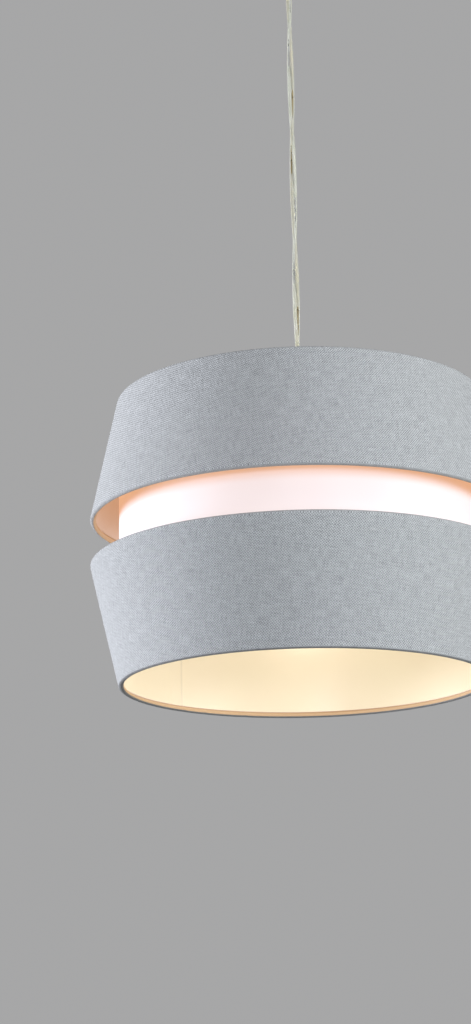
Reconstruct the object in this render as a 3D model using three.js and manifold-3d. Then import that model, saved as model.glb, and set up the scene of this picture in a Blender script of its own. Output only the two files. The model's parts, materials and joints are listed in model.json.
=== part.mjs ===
// Two-tier pendant lampshade, hung on a clear twin flex from a ceiling rose, with its lampholder and bulb.
// Millimetres, +Z up. The origin is the centre of the rose's flat back, where it meets the ceiling,
// and everything hangs below it on the Z axis. The lampholder's and rose's contacts lie along X.

import * as THREE from "three";
import { mergeVertices } from "three/addons/utils/BufferGeometryUtils.js";
import Module from "manifold-3d";

const wasm = await Module();
wasm.setup();

// ---------------------------------------------------------------- driving dimensions

const SHADE_R = 150; // widest radius, at the free edge of each tier
const END_R = 131; // radius of the shade's top and bottom ends
const TIER_H = 88; // height of each tier
const LIGHT_GAP = 30; // height of the lit gap between the tiers
const CEILING_TO_SHADE = 375; // from the ceiling to the shade's top edge

const CLEAR = 0.3; // gap between pieces that touch
const CLOTH_T = 0.5; // cotton
const SHEET_T = 0.5; // stiff plastic sheet of the linings and the drum
const WIRE_R = 1.2; // wire of the shade's four rings
const ARM_R = 1.3; // wire of the carrier's arms
const ARM_COUNT = 3;

const ROSE_R = 42; // outside radius of the rose's cover
const OUTLET_Z = -36; // where the flex leaves the rose, and the pivot it swings about
const FLEX_W = 5.2; // width of the flat twin flex
const FLEX_T = 2.9; // its thickness
const CORE_R = 1; // one insulated core

const BARREL_R = 14.2; // outside of the lampholder's threaded barrel
const SOCKET_R = 11.3; // inside of the barrel, for a 22 mm bayonet cap
const BAYONET_TURN = 18; // degrees from the entry slot to the locked position
const BAYONET_PUSH = 3; // how far the bulb pushes in against its contacts
const BULB_R = 30; // the bulb's dome
const BULB_LENGTH = 104;

const ROUND_SHADE = 48; // segments round the shade
const ROUND = 24; // segments round the rose, the lampholder and the bulb
const ROUND_SMALL = 12; // segments round screws, pins and contacts

// ---------------------------------------------------------------- heights worked out from them

const Z_TOP = -CEILING_TO_SHADE; // the shade's top edge
const Z_UPPER = Z_TOP - TIER_H; // the upper tier's free edge
const Z_LOWER = Z_UPPER - LIGHT_GAP; // the lower tier's free edge
const Z_BOTTOM = Z_LOWER - TIER_H; // the shade's bottom edge
const ROLL_R = WIRE_R + CLEAR + CLOTH_T; // outside of the cloth rolled round a wire

const SEAT_Z = Z_TOP - 12; // underside of the lampholder's flange, which the shade is clamped to
const BARREL_END_Z = SEAT_Z - 24;
const BLOCK_TOP_Z = SEAT_Z + 15.4; // top of the contact block
const CAP_TOP_Z = SEAT_Z + 37; // where the flex enters the lampholder
const FLEX_END_Z = SEAT_Z + 29;
const BULB_Z = SEAT_Z - BAYONET_PUSH - 0.6; // the bulb's contact face, clear when pushed in
const PIN_Z = BULB_Z - 7; // its bayonet pins
const CONTACT_X = 5.8; // each contact's distance from the axis

// ---------------------------------------------------------------- geometry helpers

// Signed volume of a closed triangle mesh, positive when its faces point out.
function signedVolume(geometry) {
  const soup = geometry.index ? geometry.toNonIndexed() : geometry;
  const position = soup.getAttribute("position");
  const [a, b, c] = [new THREE.Vector3(), new THREE.Vector3(), new THREE.Vector3()];
  let sum = 0;
  for (let i = 0; i < position.count; i += 3) {
    a.fromBufferAttribute(position, i);
    b.fromBufferAttribute(position, i + 1);
    c.fromBufferAttribute(position, i + 2);
    sum += a.dot(b.cross(c)) / 6;
  }
  return sum;
}

// The geometry with only its positions, shared vertices merged and faces turned outwards.
function closed(geometry) {
  const bare = geometry.clone();
  bare.deleteAttribute("normal");
  bare.deleteAttribute("uv");
  const merged = mergeVertices(bare, 1e-4);
  if (signedVolume(merged) < 0) {
    const index = merged.index.array;
    for (let i = 0; i < index.length; i += 3) {
      [index[i + 1], index[i + 2]] = [index[i + 2], index[i + 1]];
    }
  }
  return merged;
}

function toSolid(geometry) {
  const { index, attributes } = closed(geometry);
  const mesh = new wasm.Mesh({
    numProp: 3,
    vertProperties: new Float32Array(attributes.position.array),
    triVerts: new Uint32Array(index.array),
  });
  return new wasm.Manifold(mesh);
}

function fromSolid(solid) {
  const { numProp, numVert, vertProperties, triVerts } = solid.getMesh();
  const position = new Float32Array(numVert * 3);
  for (let i = 0; i < numVert; i++) {
    position.set(vertProperties.subarray(i * numProp, i * numProp + 3), i * 3);
  }
  const geometry = new THREE.BufferGeometry();
  geometry.setAttribute("position", new THREE.BufferAttribute(position, 3));
  geometry.setIndex(new THREE.BufferAttribute(new Uint32Array(triVerts), 1));
  return geometry;
}

function cut(geometry, ...tools) {
  const left = tools.reduce((solid, tool) => solid.subtract(toSolid(tool)), toSolid(geometry));
  return fromSolid(left);
}

function join(geometry, ...others) {
  const whole = others.reduce((solid, other) => solid.add(toSolid(other)), toSolid(geometry));
  return fromSolid(whole);
}

// A solid of revolution about Z. The profile is [radius, z] points: either a closed outline,
// or an outline whose two ends lie on the axis.
function turned(profile, segments = ROUND) {
  const points = profile.map(([r, z]) => new THREE.Vector2(r, z));
  const onAxis = profile[0][0] === 0 && profile.at(-1)[0] === 0;
  if (!onAxis) points.push(points[0].clone());
  return closed(new THREE.LatheGeometry(points, segments).rotateX(Math.PI / 2));
}

// A cylinder along Z between two heights, its axis at (x, y).
function rod(x, y, z0, z1, radius, segments = ROUND_SMALL) {
  const shape = new THREE.CylinderGeometry(radius, radius, Math.abs(z1 - z0), segments);
  return closed(shape.rotateX(Math.PI / 2).translate(x, y, (z0 + z1) / 2));
}

// A box between two corners.
function box([x0, y0, z0], [x1, y1, z1]) {
  const shape = new THREE.BoxGeometry(x1 - x0, y1 - y0, z1 - z0);
  return closed(shape.translate((x0 + x1) / 2, (y0 + y1) / 2, (z0 + z1) / 2));
}

// An oval section swept along a curve through the points.
function swept(points, halfWidth, halfThickness, sides, steps) {
  const section = new THREE.Shape();
  for (let i = 0; i < sides; i++) {
    const turn = (2 * Math.PI * i) / sides;
    const at = [halfWidth * Math.cos(turn), halfThickness * Math.sin(turn)];
    if (i === 0) section.moveTo(...at);
    else section.lineTo(...at);
  }
  const path = new THREE.CatmullRomCurve3(points.map((p) => new THREE.Vector3(...p)));
  const options = { steps, extrudePath: path, bevelEnabled: false };
  return closed(new THREE.ExtrudeGeometry(section, options));
}

// The outline of a sheet of the given thickness along a centreline in the (radius, z) plane.
function ribbon(centreline, thickness) {
  const side = (sign) =>
    centreline.map(([r, z], i) => {
      const [r0, z0] = centreline[Math.max(i - 1, 0)];
      const [r1, z1] = centreline[Math.min(i + 1, centreline.length - 1)];
      const length = Math.hypot(r1 - r0, z1 - z0);
      const shift = (sign * thickness) / 2 / length;
      return [r + (z1 - z0) * shift, z - (r1 - r0) * shift];
    });
  return [...side(1), ...side(-1).reverse()];
}

// ---------------------------------------------------------------- materials and the group

const finish = (color, roughness, metalness = 0, more = {}) =>
  new THREE.MeshStandardMaterial({ color, roughness, metalness, ...more });

const GREY_COTTON = finish(0xa9b0b8, 0.92);
const WHITE_LINING = finish(0xf3ead8, 0.45);
const LIT_DRUM = finish(0xfff4ea, 0.35, 0, { emissive: 0xffe2c4, emissiveIntensity: 0.6 });
const WHITE_WIRE = finish(0xe9e7e2, 0.4, 0.2);
const WHITE_PLASTIC = finish(0xf1f0ec, 0.35);
const CLEAR_PVC = finish(0xd9d8c4, 0.2, 0, { transparent: true, opacity: 0.55 });
const CORE_BROWN = finish(0x6b4028, 0.5);
const CORE_BLUE = finish(0x2f5f9c, 0.5);
const BRASS = finish(0xc9a24b, 0.3, 1);
const STEEL = finish(0xb9bcc0, 0.3, 1);
const NICKEL = finish(0xc8c6c0, 0.25, 1);
const BLACK_GLASS = finish(0x1c1c1f, 0.25);
const BOARD_GREEN = finish(0x2d6b3f, 0.6);
const BOARD_ALUMINIUM = finish(0xdcdee0, 0.4, 0.8);
const LIT_DOME = finish(0xfff2dc, 0.4, 0, { emissive: 0xffd9a0, emissiveIntensity: 1 });

const lamp = new THREE.Group();

function add(name, geometry, material) {
  const mesh = new THREE.Mesh(geometry, material);
  mesh.name = name;
  lamp.add(mesh);
}

// A slotted screw whose head faces down, with the top of its shank at zTop.
function slottedScrew(x, y, zTop) {
  const shankR = 1.2;
  const headR = 2.1;
  const headZ = zTop - 4.5;
  const body = join(
    rod(x, y, zTop, headZ - 0.5, shankR),
    rod(x, y, headZ, headZ - 1.6, headR),
  );
  const slot = box([x - headR - 1, y - 0.3, headZ - 2], [x + headR + 1, y + 0.3, headZ - 1]);
  return cut(body, slot);
}

// ---------------------------------------------------------------- the rose

const BASE_R = 38;
const SPIGOT_R = 35; // the threaded wall that the cover screws onto
const TERMINAL_X = 12;
const BLOCK_BOTTOM_Z = -15;

function roseBase() {
  const plate = turned([
    [0, 0],
    [BASE_R, 0],
    [BASE_R, -3.5],
    [SPIGOT_R, -3.5],
    [SPIGOT_R, -13],
    [32, -13],
    [32, -3.5],
    [0, -3.5],
  ]);
  const cableEntry = rod(0, 19, 1, -5, 6, ROUND);
  const fixings = [-25.4, 25.4].map((x) => rod(x, 0, 1, -5, 2.3));
  return cut(plate, cableEntry, ...fixings);
}

// The moulded block, with an open-bottomed pocket for each terminal and a hook either side of the flex.
function terminalBlock() {
  const block = box([-20, -7, BLOCK_BOTTOM_Z], [20, 7, -3.5 - CLEAR]);
  const pockets = [-1, 1].map((side) =>
    box(
      [side * TERMINAL_X - 6.8, -4.6, BLOCK_BOTTOM_Z - 1],
      [side * TERMINAL_X + 6.8, 4.6, -6],
    ),
  );
  const hooks = [-1, 1].map((side) =>
    box([side * 2.6 - 1, 4, BLOCK_BOTTOM_Z - 4], [side * 2.6 + 1, 6.4, BLOCK_BOTTOM_Z + 1]),
  );
  return join(cut(block, ...pockets), ...hooks);
}

// A brass bar with a blind hole for each clamping screw.
function terminal(x, y, halfLength, zTop, screwXs) {
  const bar = box([x - halfLength, y - 4, zTop - 7], [x + halfLength, y + 4, zTop]);
  return cut(bar, ...screwXs.map((sx) => rod(sx, y, zTop - 6, zTop - 8, 1.2 + CLEAR)));
}

function makeRose() {
  add("rose_base", roseBase(), WHITE_PLASTIC);
  add("terminal_block", terminalBlock(), WHITE_PLASTIC);
  const terminalZ = -6 - CLEAR;
  for (const [name, side] of [
    ["live", -1],
    ["neutral", 1],
  ]) {
    const x = side * TERMINAL_X;
    const screwXs = [x - 4, x + 4];
    add(`${name}_terminal`, terminal(x, 0, 6.4, terminalZ, screwXs), BRASS);
    screwXs.forEach((sx, i) => {
      add(`${name}_terminal_screw_${i + 1}`, slottedScrew(sx, 0, terminalZ - 6), BRASS);
    });
  }
  const earthZ = -3.5 - CLEAR;
  add("earth_terminal", terminal(0, -18, 5, earthZ, [0]), BRASS);
  add("earth_terminal_screw", slottedScrew(0, -18, earthZ - 6), BRASS);

  const wall = 2.2;
  const nose = OUTLET_Z - 0.8; // underside of the cover round its outlet
  const outletR = 8.3;
  const cover = turned([
    [outletR, nose],
    [18, nose],
    [28, nose + 2.6],
    [36.5, nose + 10],
    [ROSE_R - 1.2, nose + 20],
    [ROSE_R, nose + 28],
    [ROSE_R, -0.8],
    [BASE_R + 0.6, -0.8],
    [BASE_R + 0.6, -4.4],
    [SPIGOT_R + 0.4, -4.4],
    [SPIGOT_R + 0.4, -13.6],
    [ROSE_R - 2 * wall, nose + 19.6],
    [34.6, nose + 11.6],
    [27, nose + 4.9],
    [17.6, nose + wall],
    [outletR, nose + wall],
  ]);
  add("rose_cover", cover, WHITE_PLASTIC);

  const grommet = turned(
    [
      [6.2, nose + 3.4],
      [9.7, nose + 3.4],
      [9.7, nose + wall + CLEAR],
      [outletR - CLEAR, nose + wall + CLEAR],
      [outletR - CLEAR, nose - CLEAR],
      [9.7, nose - CLEAR],
      [9, nose - 1.4],
      [7, nose - 1.4],
      [6.2, nose - 0.2],
    ],
    24,
  );
  add("outlet_grommet", grommet, WHITE_PLASTIC);
}

// ---------------------------------------------------------------- the flex

const TAIL_TOP_Z = OUTLET_Z + 8;
const TAIL_END_Z = OUTLET_Z + 3 * CLEAR; // leaves room for the corner of the swinging flex

// The flex hangs straight down the Z axis, from the outlet into the lampholder.
const FLEX_ROUTE = Array.from({ length: 16 }, (_, i) => [
  0,
  0,
  OUTLET_Z - CLEAR + ((FLEX_END_Z - OUTLET_Z + CLEAR) * i) / 15,
]);

function makeFlex() {
  const sides = 10;
  const steps = 24;
  add("flex", swept(FLEX_ROUTE, FLEX_T / 2, FLEX_W / 2, sides, steps), CLEAR_PVC);
  const tail = [0, 0.5, 1].map((t) => [0, 0, TAIL_END_Z + (TAIL_TOP_Z - TAIL_END_Z) * t]);
  add("flex_tail", swept(tail, FLEX_T / 2, FLEX_W / 2, sides, 2), CLEAR_PVC);

  for (const [name, side, material] of [
    ["live", -1, CORE_BROWN],
    ["neutral", 1, CORE_BLUE],
  ]) {
    const upper = [
      [side * 1.4, 0, TAIL_TOP_Z + CLEAR],
      [side * 2, 0, TAIL_TOP_Z + 3],
      [side * 8, 0, -21],
      [side * TERMINAL_X, 0, -17.5],
      [side * TERMINAL_X, 0, -13.3 - CLEAR],
    ];
    add(`upper_core_${name}`, swept(upper, CORE_R, CORE_R, 6, 8), material);
    const lower = [
      [side * 1.4, 0, FLEX_END_Z - CLEAR],
      [side * 2.4, 0, FLEX_END_Z - 3],
      [side * 6, 0, BLOCK_TOP_Z + 8],
      [side * 6.5, 0, BLOCK_TOP_Z + 6],
    ];
    add(`lower_core_${name}`, swept(lower, CORE_R, CORE_R, 6, 6), material);
  }
}

// ---------------------------------------------------------------- the lampholder

// Two tools that cut one J-shaped bayonet slot: its entry and its sideways run.
function bayonetSlot(lockedAngle) {
  const slotW = 2.8;
  const low = PIN_Z - slotW / 2;
  const high = PIN_Z + slotW / 2 + BAYONET_PUSH;
  const turn = THREE.MathUtils.degToRad(BAYONET_TURN);
  const run = SOCKET_R * turn + slotW + 0.8;
  const entry = box([SOCKET_R - 1, -slotW / 2, BARREL_END_Z - 1], [BARREL_R + 1, slotW / 2, high]);
  const sideways = box([SOCKET_R - 1, -run / 2, low], [BARREL_R + 1, run / 2, high]);
  return [
    entry.rotateZ(lockedAngle - turn),
    sideways.rotateZ(lockedAngle - turn / 2),
  ];
}

function holderBody() {
  const shell = turned([
    [SOCKET_R, BARREL_END_Z],
    [BARREL_R - 0.6, BARREL_END_Z],
    [BARREL_R, BARREL_END_Z + 0.8],
    [BARREL_R, SEAT_Z],
    [20.5, SEAT_Z],
    [20.5, SEAT_Z + 3.5],
    [17.3, SEAT_Z + 3.5],
    [17.3, SEAT_Z + 13.1],
    [SOCKET_R, SEAT_Z + 13.1],
  ]);
  return cut(shell, ...bayonetSlot(0), ...bayonetSlot(Math.PI));
}

function contactBlock() {
  const block = turned([
    [0, SEAT_Z],
    [SOCKET_R - 0.4, SEAT_Z],
    [SOCKET_R - 0.4, SEAT_Z + 13.4],
    [13.6, SEAT_Z + 13.4],
    [13.6, BLOCK_TOP_Z],
    [0, BLOCK_TOP_Z],
  ]);
  const bores = [-CONTACT_X, CONTACT_X].flatMap((x) => [
    rod(x, 0, SEAT_Z - 1, SEAT_Z + 3.1, 2.6, 16),
    rod(x, 0, SEAT_Z + 3, SEAT_Z + 12.2, 3.3, 16),
  ]);
  return cut(block, ...bores);
}

// A sprung contact: a rounded nose, a collar that the spring pushes on, and a stem up its middle.
function plunger(x) {
  const nose = BULB_Z + CLEAR;
  const profile = [
    [0, nose],
    [1.6, nose],
    [2.3, nose + 0.8],
    [2.3, SEAT_Z + 3.4],
    [2.9, SEAT_Z + 3.4],
    [2.9, SEAT_Z + 4.6],
    [1.1, SEAT_Z + 4.6],
    [1.1, SEAT_Z + 8.4],
    [0, SEAT_Z + 8.4],
  ];
  return turned(profile, ROUND_SMALL).translate(x, 0, 0);
}

function plungerSpring(x) {
  const coils = 4;
  const perCoil = 8;
  const radius = 2.15;
  const z0 = SEAT_Z + 5.3;
  const z1 = SEAT_Z + 11.6;
  const helix = Array.from({ length: coils * perCoil + 1 }, (_, i) => {
    const turn = (2 * Math.PI * i) / perCoil;
    const z = z0 + ((z1 - z0) * i) / (coils * perCoil);
    return [x + radius * Math.cos(turn), radius * Math.sin(turn), z];
  });
  return swept(helix, 0.3, 0.3, 5, coils * perCoil);
}

function makeHolder() {
  add("holder_body", holderBody(), WHITE_PLASTIC);
  add("contact_block", contactBlock(), WHITE_PLASTIC);
  for (const [name, side] of [
    ["live", -1],
    ["neutral", 1],
  ]) {
    const x = side * CONTACT_X;
    add(`contact_plunger_${name}`, plunger(x), BRASS);
    add(`plunger_spring_${name}`, plungerSpring(x), STEEL);
    const z0 = BLOCK_TOP_Z + CLEAR;
    const post = box([side * 6.5 - 2.5, -3, z0], [side * 6.5 + 2.5, 3, z0 + 5]);
    const screwHole = rod(0, 0, 0, 4, 1.1 + CLEAR).rotateX(-Math.PI / 2);
    screwHole.translate(side * 6.5, 0, z0 + 2.5);
    add(`holder_terminal_${name}`, cut(post, screwHole), BRASS);
    const shank = rod(0, 0, 0.6, 4.2, 1.1);
    const head = cut(rod(0, 0, 4, 5.2, 1.8), box([-3, -0.3, 4.7], [3, 0.3, 6]));
    const screw = join(shank, head).rotateX(-Math.PI / 2);
    add(`holder_terminal_screw_${name}`, screw.translate(side * 6.5, 0, z0 + 2.5), BRASS);
  }

  const cap = turned([
    [17.7, SEAT_Z + 3.8],
    [20.5, SEAT_Z + 3.8],
    [20.5, SEAT_Z + 14],
    [19, SEAT_Z + 20],
    [14.5, SEAT_Z + 27],
    [8.4, SEAT_Z + 31.5],
    [6.8, SEAT_Z + 33.5],
    [6.4, CAP_TOP_Z - 0.8],
    [5.6, CAP_TOP_Z],
    [3.6, CAP_TOP_Z],
    [3.6, SEAT_Z + 31.5],
    [7, SEAT_Z + 29.6],
    [12.8, SEAT_Z + 25.4],
    [16.8, SEAT_Z + 19.2],
    [17.7, SEAT_Z + 15.8],
  ]);
  add("holder_cap", cap, WHITE_PLASTIC);
}

// ---------------------------------------------------------------- the bulb

function makeBulb() {
  const at = (profile) => profile.map(([r, z]) => [r, BULB_Z + z]);

  const dome = [];
  const innerDome = [];
  const domeSteps = 7;
  const domeCentre = BULB_R - BULB_LENGTH;
  for (let i = 0; i <= domeSteps; i++) {
    const turn = (Math.PI / 2) * (i / domeSteps);
    dome.push([BULB_R * Math.sin(turn), domeCentre - BULB_R * Math.cos(turn)]);
    innerDome.push([(BULB_R - 1.2) * Math.sin(turn), domeCentre - (BULB_R - 1.2) * Math.cos(turn)]);
  }
  dome.push([28.4, -61.4]);
  innerDome.push([27.2, -61.4]);
  add("bulb_dome", turned(at([...dome, ...innerDome.reverse()])), LIT_DOME);

  const housing = turned(
    at([
      [12.9, -25.4],
      [13.6, -31],
      [19.5, -41.5],
      [25.8, -52],
      [28.6, -61],
      [27, -61],
      [24.2, -52.6],
      [18, -42.4],
      [12, -31.6],
      [11.3, -25.4],
    ]),
  );
  add("bulb_housing", housing, WHITE_PLASTIC);

  const sleeve = turned(
    at([
      [10.4, -1.2],
      [10.8, -1],
      [11, -1.6],
      [11, -23.9],
      [12.2, -25.1],
      [11.6, -25.1],
      [10.4, -24.1],
    ]),
  );
  add("bulb_cap", sleeve, NICKEL);

  const insulator = turned(
    at([
      [0, -0.9],
      [8.6, -0.9],
      [10.1, -2.4],
      [10.1, -4],
      [0, -4],
    ]),
  );
  add("cap_insulator", insulator, BLACK_GLASS);

  for (const [name, side] of [
    ["live", -1],
    ["neutral", 1],
  ]) {
    const pad = turned(
      at([
        [0, -0.05],
        [1.4, -0.05],
        [2.1, -0.6],
        [0, -0.6],
      ]),
      ROUND_SMALL,
    );
    add(`bulb_contact_${name}`, pad.translate(side * CONTACT_X, 0, 0), BRASS);
    const pin = rod(0, 0, SOCKET_R, SOCKET_R + 2.3, 1, 10).rotateY((side * Math.PI) / 2);
    add(`bayonet_pin_${name}`, pin.translate(0, 0, PIN_Z), BRASS);
  }

  const driver = box([-8, -0.8, BULB_Z - 52], [8, 0.8, BULB_Z - 28]);
  add("driver_board", driver, BOARD_GREEN);
  const ledBoard = turned(
    at([
      [0, -57],
      [24, -57],
      [24, -58.5],
      [0, -58.5],
    ]),
  );
  add("led_board", ledBoard, BOARD_ALUMINIUM);
}

// ---------------------------------------------------------------- the shade and what clamps it

const CARRIER_R = 27.5; // outside of the carrier's centre ring
const CARRIER_Z = SEAT_Z - 2.2; // its top face
const ROLL_POINTS = 4;

// The wire's centre inside the roll at a tier's edge, for the outer radius and height of that edge.
const wireAt = (outerR, edgeZ, upwards) => [outerR - ROLL_R, edgeZ + (upwards ? -1 : 1) * ROLL_R];

// A roll of cloth round a wire, as centreline points. It starts on the cloth's outer side and turns
// inwards over the edge: upwards is true for an edge at the top of its tier.
function roll([r, z], upwards) {
  const radius = ROLL_R - CLOTH_T / 2;
  const sweep = THREE.MathUtils.degToRad(205);
  return Array.from({ length: ROLL_POINTS }, (_, i) => {
    const turn = (sweep * i) / (ROLL_POINTS - 1);
    return [r + radius * Math.cos(turn), z + (upwards ? 1 : -1) * radius * Math.sin(turn)];
  });
}

// One tier's cloth, rolled round the wire at both of its edges.
function tierCloth(topR, topZ, lowR, lowZ) {
  const top = roll(wireAt(topR, topZ, true), true);
  const low = roll(wireAt(lowR, lowZ, false), false);
  return turned(ribbon([...top.reverse(), ...low], CLOTH_T), ROUND_SHADE);
}

// The stiff white sheet behind a tier's cloth, which stops short of both rolls.
function tierLining(topR, topZ, lowR, lowZ) {
  const short = 2 * ROLL_R + 0.5;
  const slope = (lowR - topR) / (topZ - lowZ);
  const inset = CLOTH_T + CLEAR + SHEET_T / 2 + 0.15;
  const centreline = [
    [topR + slope * short - inset, topZ - short],
    [lowR - slope * short - inset, lowZ + short],
  ];
  return turned(ribbon(centreline, SHEET_T), ROUND_SHADE);
}

function wireRing([r, z]) {
  return closed(new THREE.TorusGeometry(r, WIRE_R - 0.1, 5, ROUND_SHADE).translate(0, 0, z));
}

function makeShade() {
  const tiers = {
    upper: [END_R, Z_TOP, SHADE_R, Z_UPPER],
    lower: [SHADE_R, Z_LOWER, END_R, Z_BOTTOM],
  };
  for (const [name, shape] of Object.entries(tiers)) {
    add(`${name}_tier_fabric`, tierCloth(...shape), GREY_COTTON);
    add(`${name}_tier_lining`, tierLining(...shape), WHITE_LINING);
  }

  const drumR = END_R - 1.6;
  const drum = [
    [drumR, Z_BOTTOM + 2 * ROLL_R + 0.5],
    [drumR, Z_TOP - 2 * ROLL_R - 0.5],
  ];
  add("drum_diffuser", turned(ribbon(drum, SHEET_T), ROUND_SHADE), LIT_DRUM);

  add("top_wire_ring", wireRing(wireAt(END_R, Z_TOP, true)), WHITE_WIRE);
  add("upper_free_wire_ring", wireRing(wireAt(SHADE_R, Z_UPPER, false)), WHITE_WIRE);
  add("lower_free_wire_ring", wireRing(wireAt(SHADE_R, Z_LOWER, true)), WHITE_WIRE);
  add("bottom_wire_ring", wireRing(wireAt(END_R, Z_BOTTOM, false)), WHITE_WIRE);

  const carrier = turned([
    [21, CARRIER_Z - 1.5],
    [CARRIER_R, CARRIER_Z - 1.5],
    [CARRIER_R, CARRIER_Z],
    [21, CARRIER_Z],
  ]);
  add("carrier_ring", carrier, WHITE_WIRE);
  const armEndR = END_R - 2 * ROLL_R - 2 * CLEAR;
  for (let i = 0; i < ARM_COUNT; i++) {
    const route = [
      [0, CARRIER_R + CLEAR, CARRIER_Z - 0.9],
      [0, CARRIER_R + 12, CARRIER_Z - 0.6],
      [0, armEndR * 0.62, Z_TOP - 8.5],
      [0, armEndR - 12, Z_TOP - 3.6],
      [0, armEndR, Z_TOP - 2.4],
    ];
    const arm = swept(route, ARM_R, ARM_R, 8, 8).rotateZ((2 * Math.PI * i) / ARM_COUNT);
    add(`carrier_arm_${i + 1}`, arm, WHITE_WIRE);
  }

  const reducer = turned([
    [BARREL_R + 0.4, SEAT_Z - 3.4],
    [20.6, SEAT_Z - 3.4],
    [20.6, SEAT_Z - 1.8],
    [24, SEAT_Z - 1.8],
    [24, SEAT_Z - CLEAR],
    [BARREL_R + 0.4, SEAT_Z - CLEAR],
  ]);
  add("reducer_ring", reducer, WHITE_PLASTIC);

  const ring = turned([
    [BARREL_R + 0.4, SEAT_Z - 13],
    [17.6, SEAT_Z - 13],
    [18.4, SEAT_Z - 12.2],
    [18.8, SEAT_Z - 6.6],
    [24.5, SEAT_Z - 6.1],
    [24.5, SEAT_Z - 4.1],
    [BARREL_R + 0.4, SEAT_Z - 4.1],
  ]);
  add("shade_ring", ring, WHITE_PLASTIC);
}

makeRose();
makeFlex();
makeHolder();
makeBulb();
makeShade();

export default lamp;
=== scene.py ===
"""Two-tier pendant lampshade on a clear twin flex, with its ceiling rose, lampholder and bulb.

Shapes are given in millimetres, in the frame's own axes, and are turned into metres when a mesh is made.
"""

import json
import math

import bmesh
import bpy
import numpy as np
from mathutils import Matrix, Vector


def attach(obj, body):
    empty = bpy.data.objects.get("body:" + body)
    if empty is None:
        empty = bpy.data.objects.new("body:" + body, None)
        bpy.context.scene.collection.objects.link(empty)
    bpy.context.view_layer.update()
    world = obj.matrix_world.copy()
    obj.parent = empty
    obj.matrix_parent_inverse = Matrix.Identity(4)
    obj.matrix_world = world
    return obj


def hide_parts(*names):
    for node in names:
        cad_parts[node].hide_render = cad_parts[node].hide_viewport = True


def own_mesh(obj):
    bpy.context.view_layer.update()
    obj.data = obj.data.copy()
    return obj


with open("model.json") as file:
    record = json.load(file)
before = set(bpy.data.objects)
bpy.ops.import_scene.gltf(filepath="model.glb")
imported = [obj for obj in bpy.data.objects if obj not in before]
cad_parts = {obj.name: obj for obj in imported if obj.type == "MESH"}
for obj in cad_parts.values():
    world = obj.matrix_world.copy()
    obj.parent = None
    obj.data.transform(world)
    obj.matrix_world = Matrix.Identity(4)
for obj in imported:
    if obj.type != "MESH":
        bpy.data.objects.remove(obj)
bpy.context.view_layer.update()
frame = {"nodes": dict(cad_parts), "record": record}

MM = 0.001

# ---------------------------------------------------------------- dimensions, as in the CAD

SHADE_R = 150.0
END_R = 131.0
TIER_H = 88.0
LIGHT_GAP = 30.0
Z_TOP = -375.0
Z_UPPER = Z_TOP - TIER_H
Z_LOWER = Z_UPPER - LIGHT_GAP
Z_BOTTOM = Z_LOWER - TIER_H

CLEAR = 0.3
CLOTH_T = 0.5
SHEET_T = 0.5
WIRE_R = 1.2
ROLL_R = WIRE_R + CLEAR + CLOTH_T
DRUM_R = END_R - 1.6
ARM_R = 1.3
ARM_COUNT = 3
CARRIER_R = 27.5

ROSE_R = 42.0
BASE_R = 38.0
SPIGOT_R = 35.0
OUTLET_Z = -36.0
FLEX_W = 5.2
FLEX_T = 2.9
FLEX_END_Z = -358.0
TAIL_TOP_Z = OUTLET_Z + 8
TAIL_END_Z = OUTLET_Z + 0.9

BARREL_R = 14.2
SOCKET_R = 11.3
SEAT_Z = Z_TOP - 12
BARREL_END_Z = SEAT_Z - 24
CAP_TOP_Z = SEAT_Z + 37
CARRIER_Z = SEAT_Z - 2.2
BULB_Z = SEAT_Z - 3.6
PIN_Z = BULB_Z - 7
BULB_R = 30.0
BULB_LENGTH = 104.0
BLOCK_TOP_Z = SEAT_Z + 15.4
CONTACT_X = 5.8
BAYONET_TURN = 18.0
BAYONET_PUSH = 3.0

CONE = (SHADE_R - END_R) / math.hypot(SHADE_R - END_R, TIER_H)  # sine of each tier's slope
SEAM_TURN = math.radians(135)  # where the drum's sheet and each tier's cloth overlap

ROUND_SHADE = 240  # segments round the shade
ROUND = 128  # segments round everything else

# ---------------------------------------------------------------- camera

EYE = Vector((0.0, -1.69525, -0.90295))
YAW, PITCH, ROLL = math.radians(-1.586), math.radians(14.817), math.radians(-1.016)
LENS_MM = 86.6


def make_camera():
    forward = Vector((math.sin(YAW) * math.cos(PITCH), math.cos(YAW) * math.cos(PITCH), math.sin(PITCH)))
    level = forward.cross(Vector((0, 0, 1))).normalized()
    upright = level.cross(forward)
    right = level * math.cos(ROLL) + upright * math.sin(ROLL)
    up = upright * math.cos(ROLL) - level * math.sin(ROLL)
    data = bpy.data.cameras.new("camera")
    data.lens = LENS_MM
    camera = bpy.data.objects.new("camera", data)
    camera.matrix_world = Matrix.Translation(EYE) @ Matrix((right, up, -forward)).transposed().to_4x4()
    bpy.context.scene.collection.objects.link(camera)
    bpy.context.scene.camera = camera


# ---------------------------------------------------------------- node materials


def node(tree, kind, inputs=None, **settings):
    """A new node. inputs maps a socket's name or number to a value or to another node's socket."""
    made = tree.nodes.new(f"ShaderNode{kind}")
    for name, value in settings.items():
        setattr(made, name, value)
    for socket, value in (inputs or {}).items():
        if isinstance(value, bpy.types.NodeSocket):
            tree.links.new(value, made.inputs[socket])
        else:
            made.inputs[socket].default_value = value
    return made


def maths(tree, operation, a, b=0.0):
    return node(tree, "Math", {0: a, 1: b}, operation=operation).outputs[0]


def noise(tree, scale, detail=2.0, stretch=(1, 1, 1)):
    """3-D noise on the piece's own coordinates, stretched by a scale on each axis."""
    place = node(tree, "TexCoord").outputs["Object"]
    place = node(tree, "Mapping", {"Vector": place, "Scale": stretch}).outputs[0]
    return node(tree, "TexNoise", {"Vector": place, "Scale": scale, "Detail": detail}).outputs["Fac"]


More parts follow.
